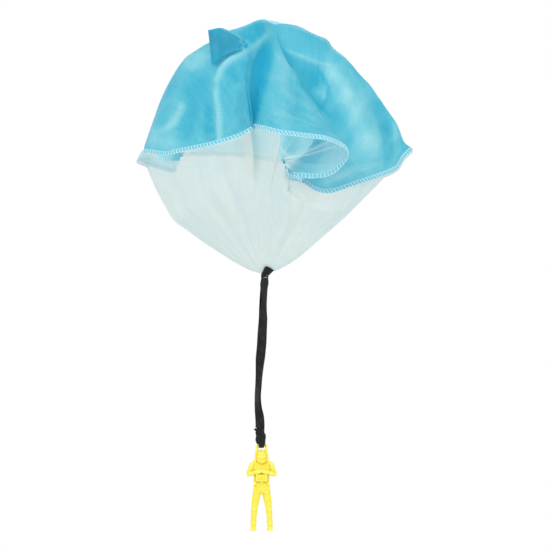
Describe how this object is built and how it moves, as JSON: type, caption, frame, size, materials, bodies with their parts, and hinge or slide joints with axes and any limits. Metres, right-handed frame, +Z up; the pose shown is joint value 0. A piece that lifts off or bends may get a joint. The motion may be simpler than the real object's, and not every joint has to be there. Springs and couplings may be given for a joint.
{
  "type": "toy parachute",
  "caption": "Hand-thrown toy parachute: a pleated cloth canopy with a net skirt, a satin ribbon and a moulded paratrooper hung from a ring.",
  "frame": {"origin": "top of the canopy's crown, where a hand or a thread holds the toy up", "axes": "+Z up along the hanging toy, -Y towards the front with the folded hem, +X to the right as seen from the front"},
  "size_m": [0.2612, 0.2272, 0.4858],
  "materials": {
    "canopy_cloth": "light blue taffeta with a soft sheen",
    "edge_thread": "pale blue overlock thread",
    "net": "fine white tulle",
    "ribbon_satin": "black satin",
    "white_thread": "white sewing thread",
    "figure_plastic": "semi-matte yellow moulding"
  },
  "bodies": {
    "canopy": {"canopy": "canopy_cloth", "edge_stitching": "edge_thread", "net_skirt": "net", "net_side_seam": "edge_thread"},
    "net_tip": {"net_gather": "net", "ribbon_top_fold": "ribbon_satin", "top_stitch": "white_thread"},
    "ribbon_neck": {"ribbon_neck": "ribbon_satin"},
    "ribbon": {"ribbon": "ribbon_satin"},
    "ribbon_loop": {"ribbon_knot": "ribbon_satin", "ribbon_loop": "ribbon_satin"},
    "paratrooper": {"paratrooper": "figure_plastic"}
  },
  "joints": [
    {"name": "net_collapse", "type": "slide", "parent": "canopy", "child": "net_tip", "axis": [0, 0, 1], "range_m": [0, 0.045], "deforming": ["net_skirt", "net_side_seam"]},
    {"name": "swing_fore_aft", "type": "hinge", "parent": "net_tip", "child": "ribbon_neck", "pos_m": [-0.0027, 0, -0.2506], "axis": [1, 0, 0], "range_deg": [-75, 75], "deforming": ["ribbon_neck"]},
    {"name": "swing_sideways", "type": "hinge", "parent": "ribbon_neck", "child": "ribbon", "pos_m": [-0.0027, 0, -0.2506], "axis": [0, 1, 0], "range_deg": [-75, 75], "deforming": ["ribbon_neck"]},
    {"name": "ribbon_twist", "type": "hinge", "parent": "ribbon", "child": "ribbon_loop", "pos_m": [-0.0066, 0, -0.3885], "axis": [0, 0, 1], "range_deg": [-180, 180]},
    {"name": "ring_nod", "type": "hinge", "parent": "ribbon_loop", "child": "paratrooper", "pos_m": [-0.0051, 0, -0.4039], "axis": [1, 0, 0], "range_deg": [-30, 30]}
  ]
}
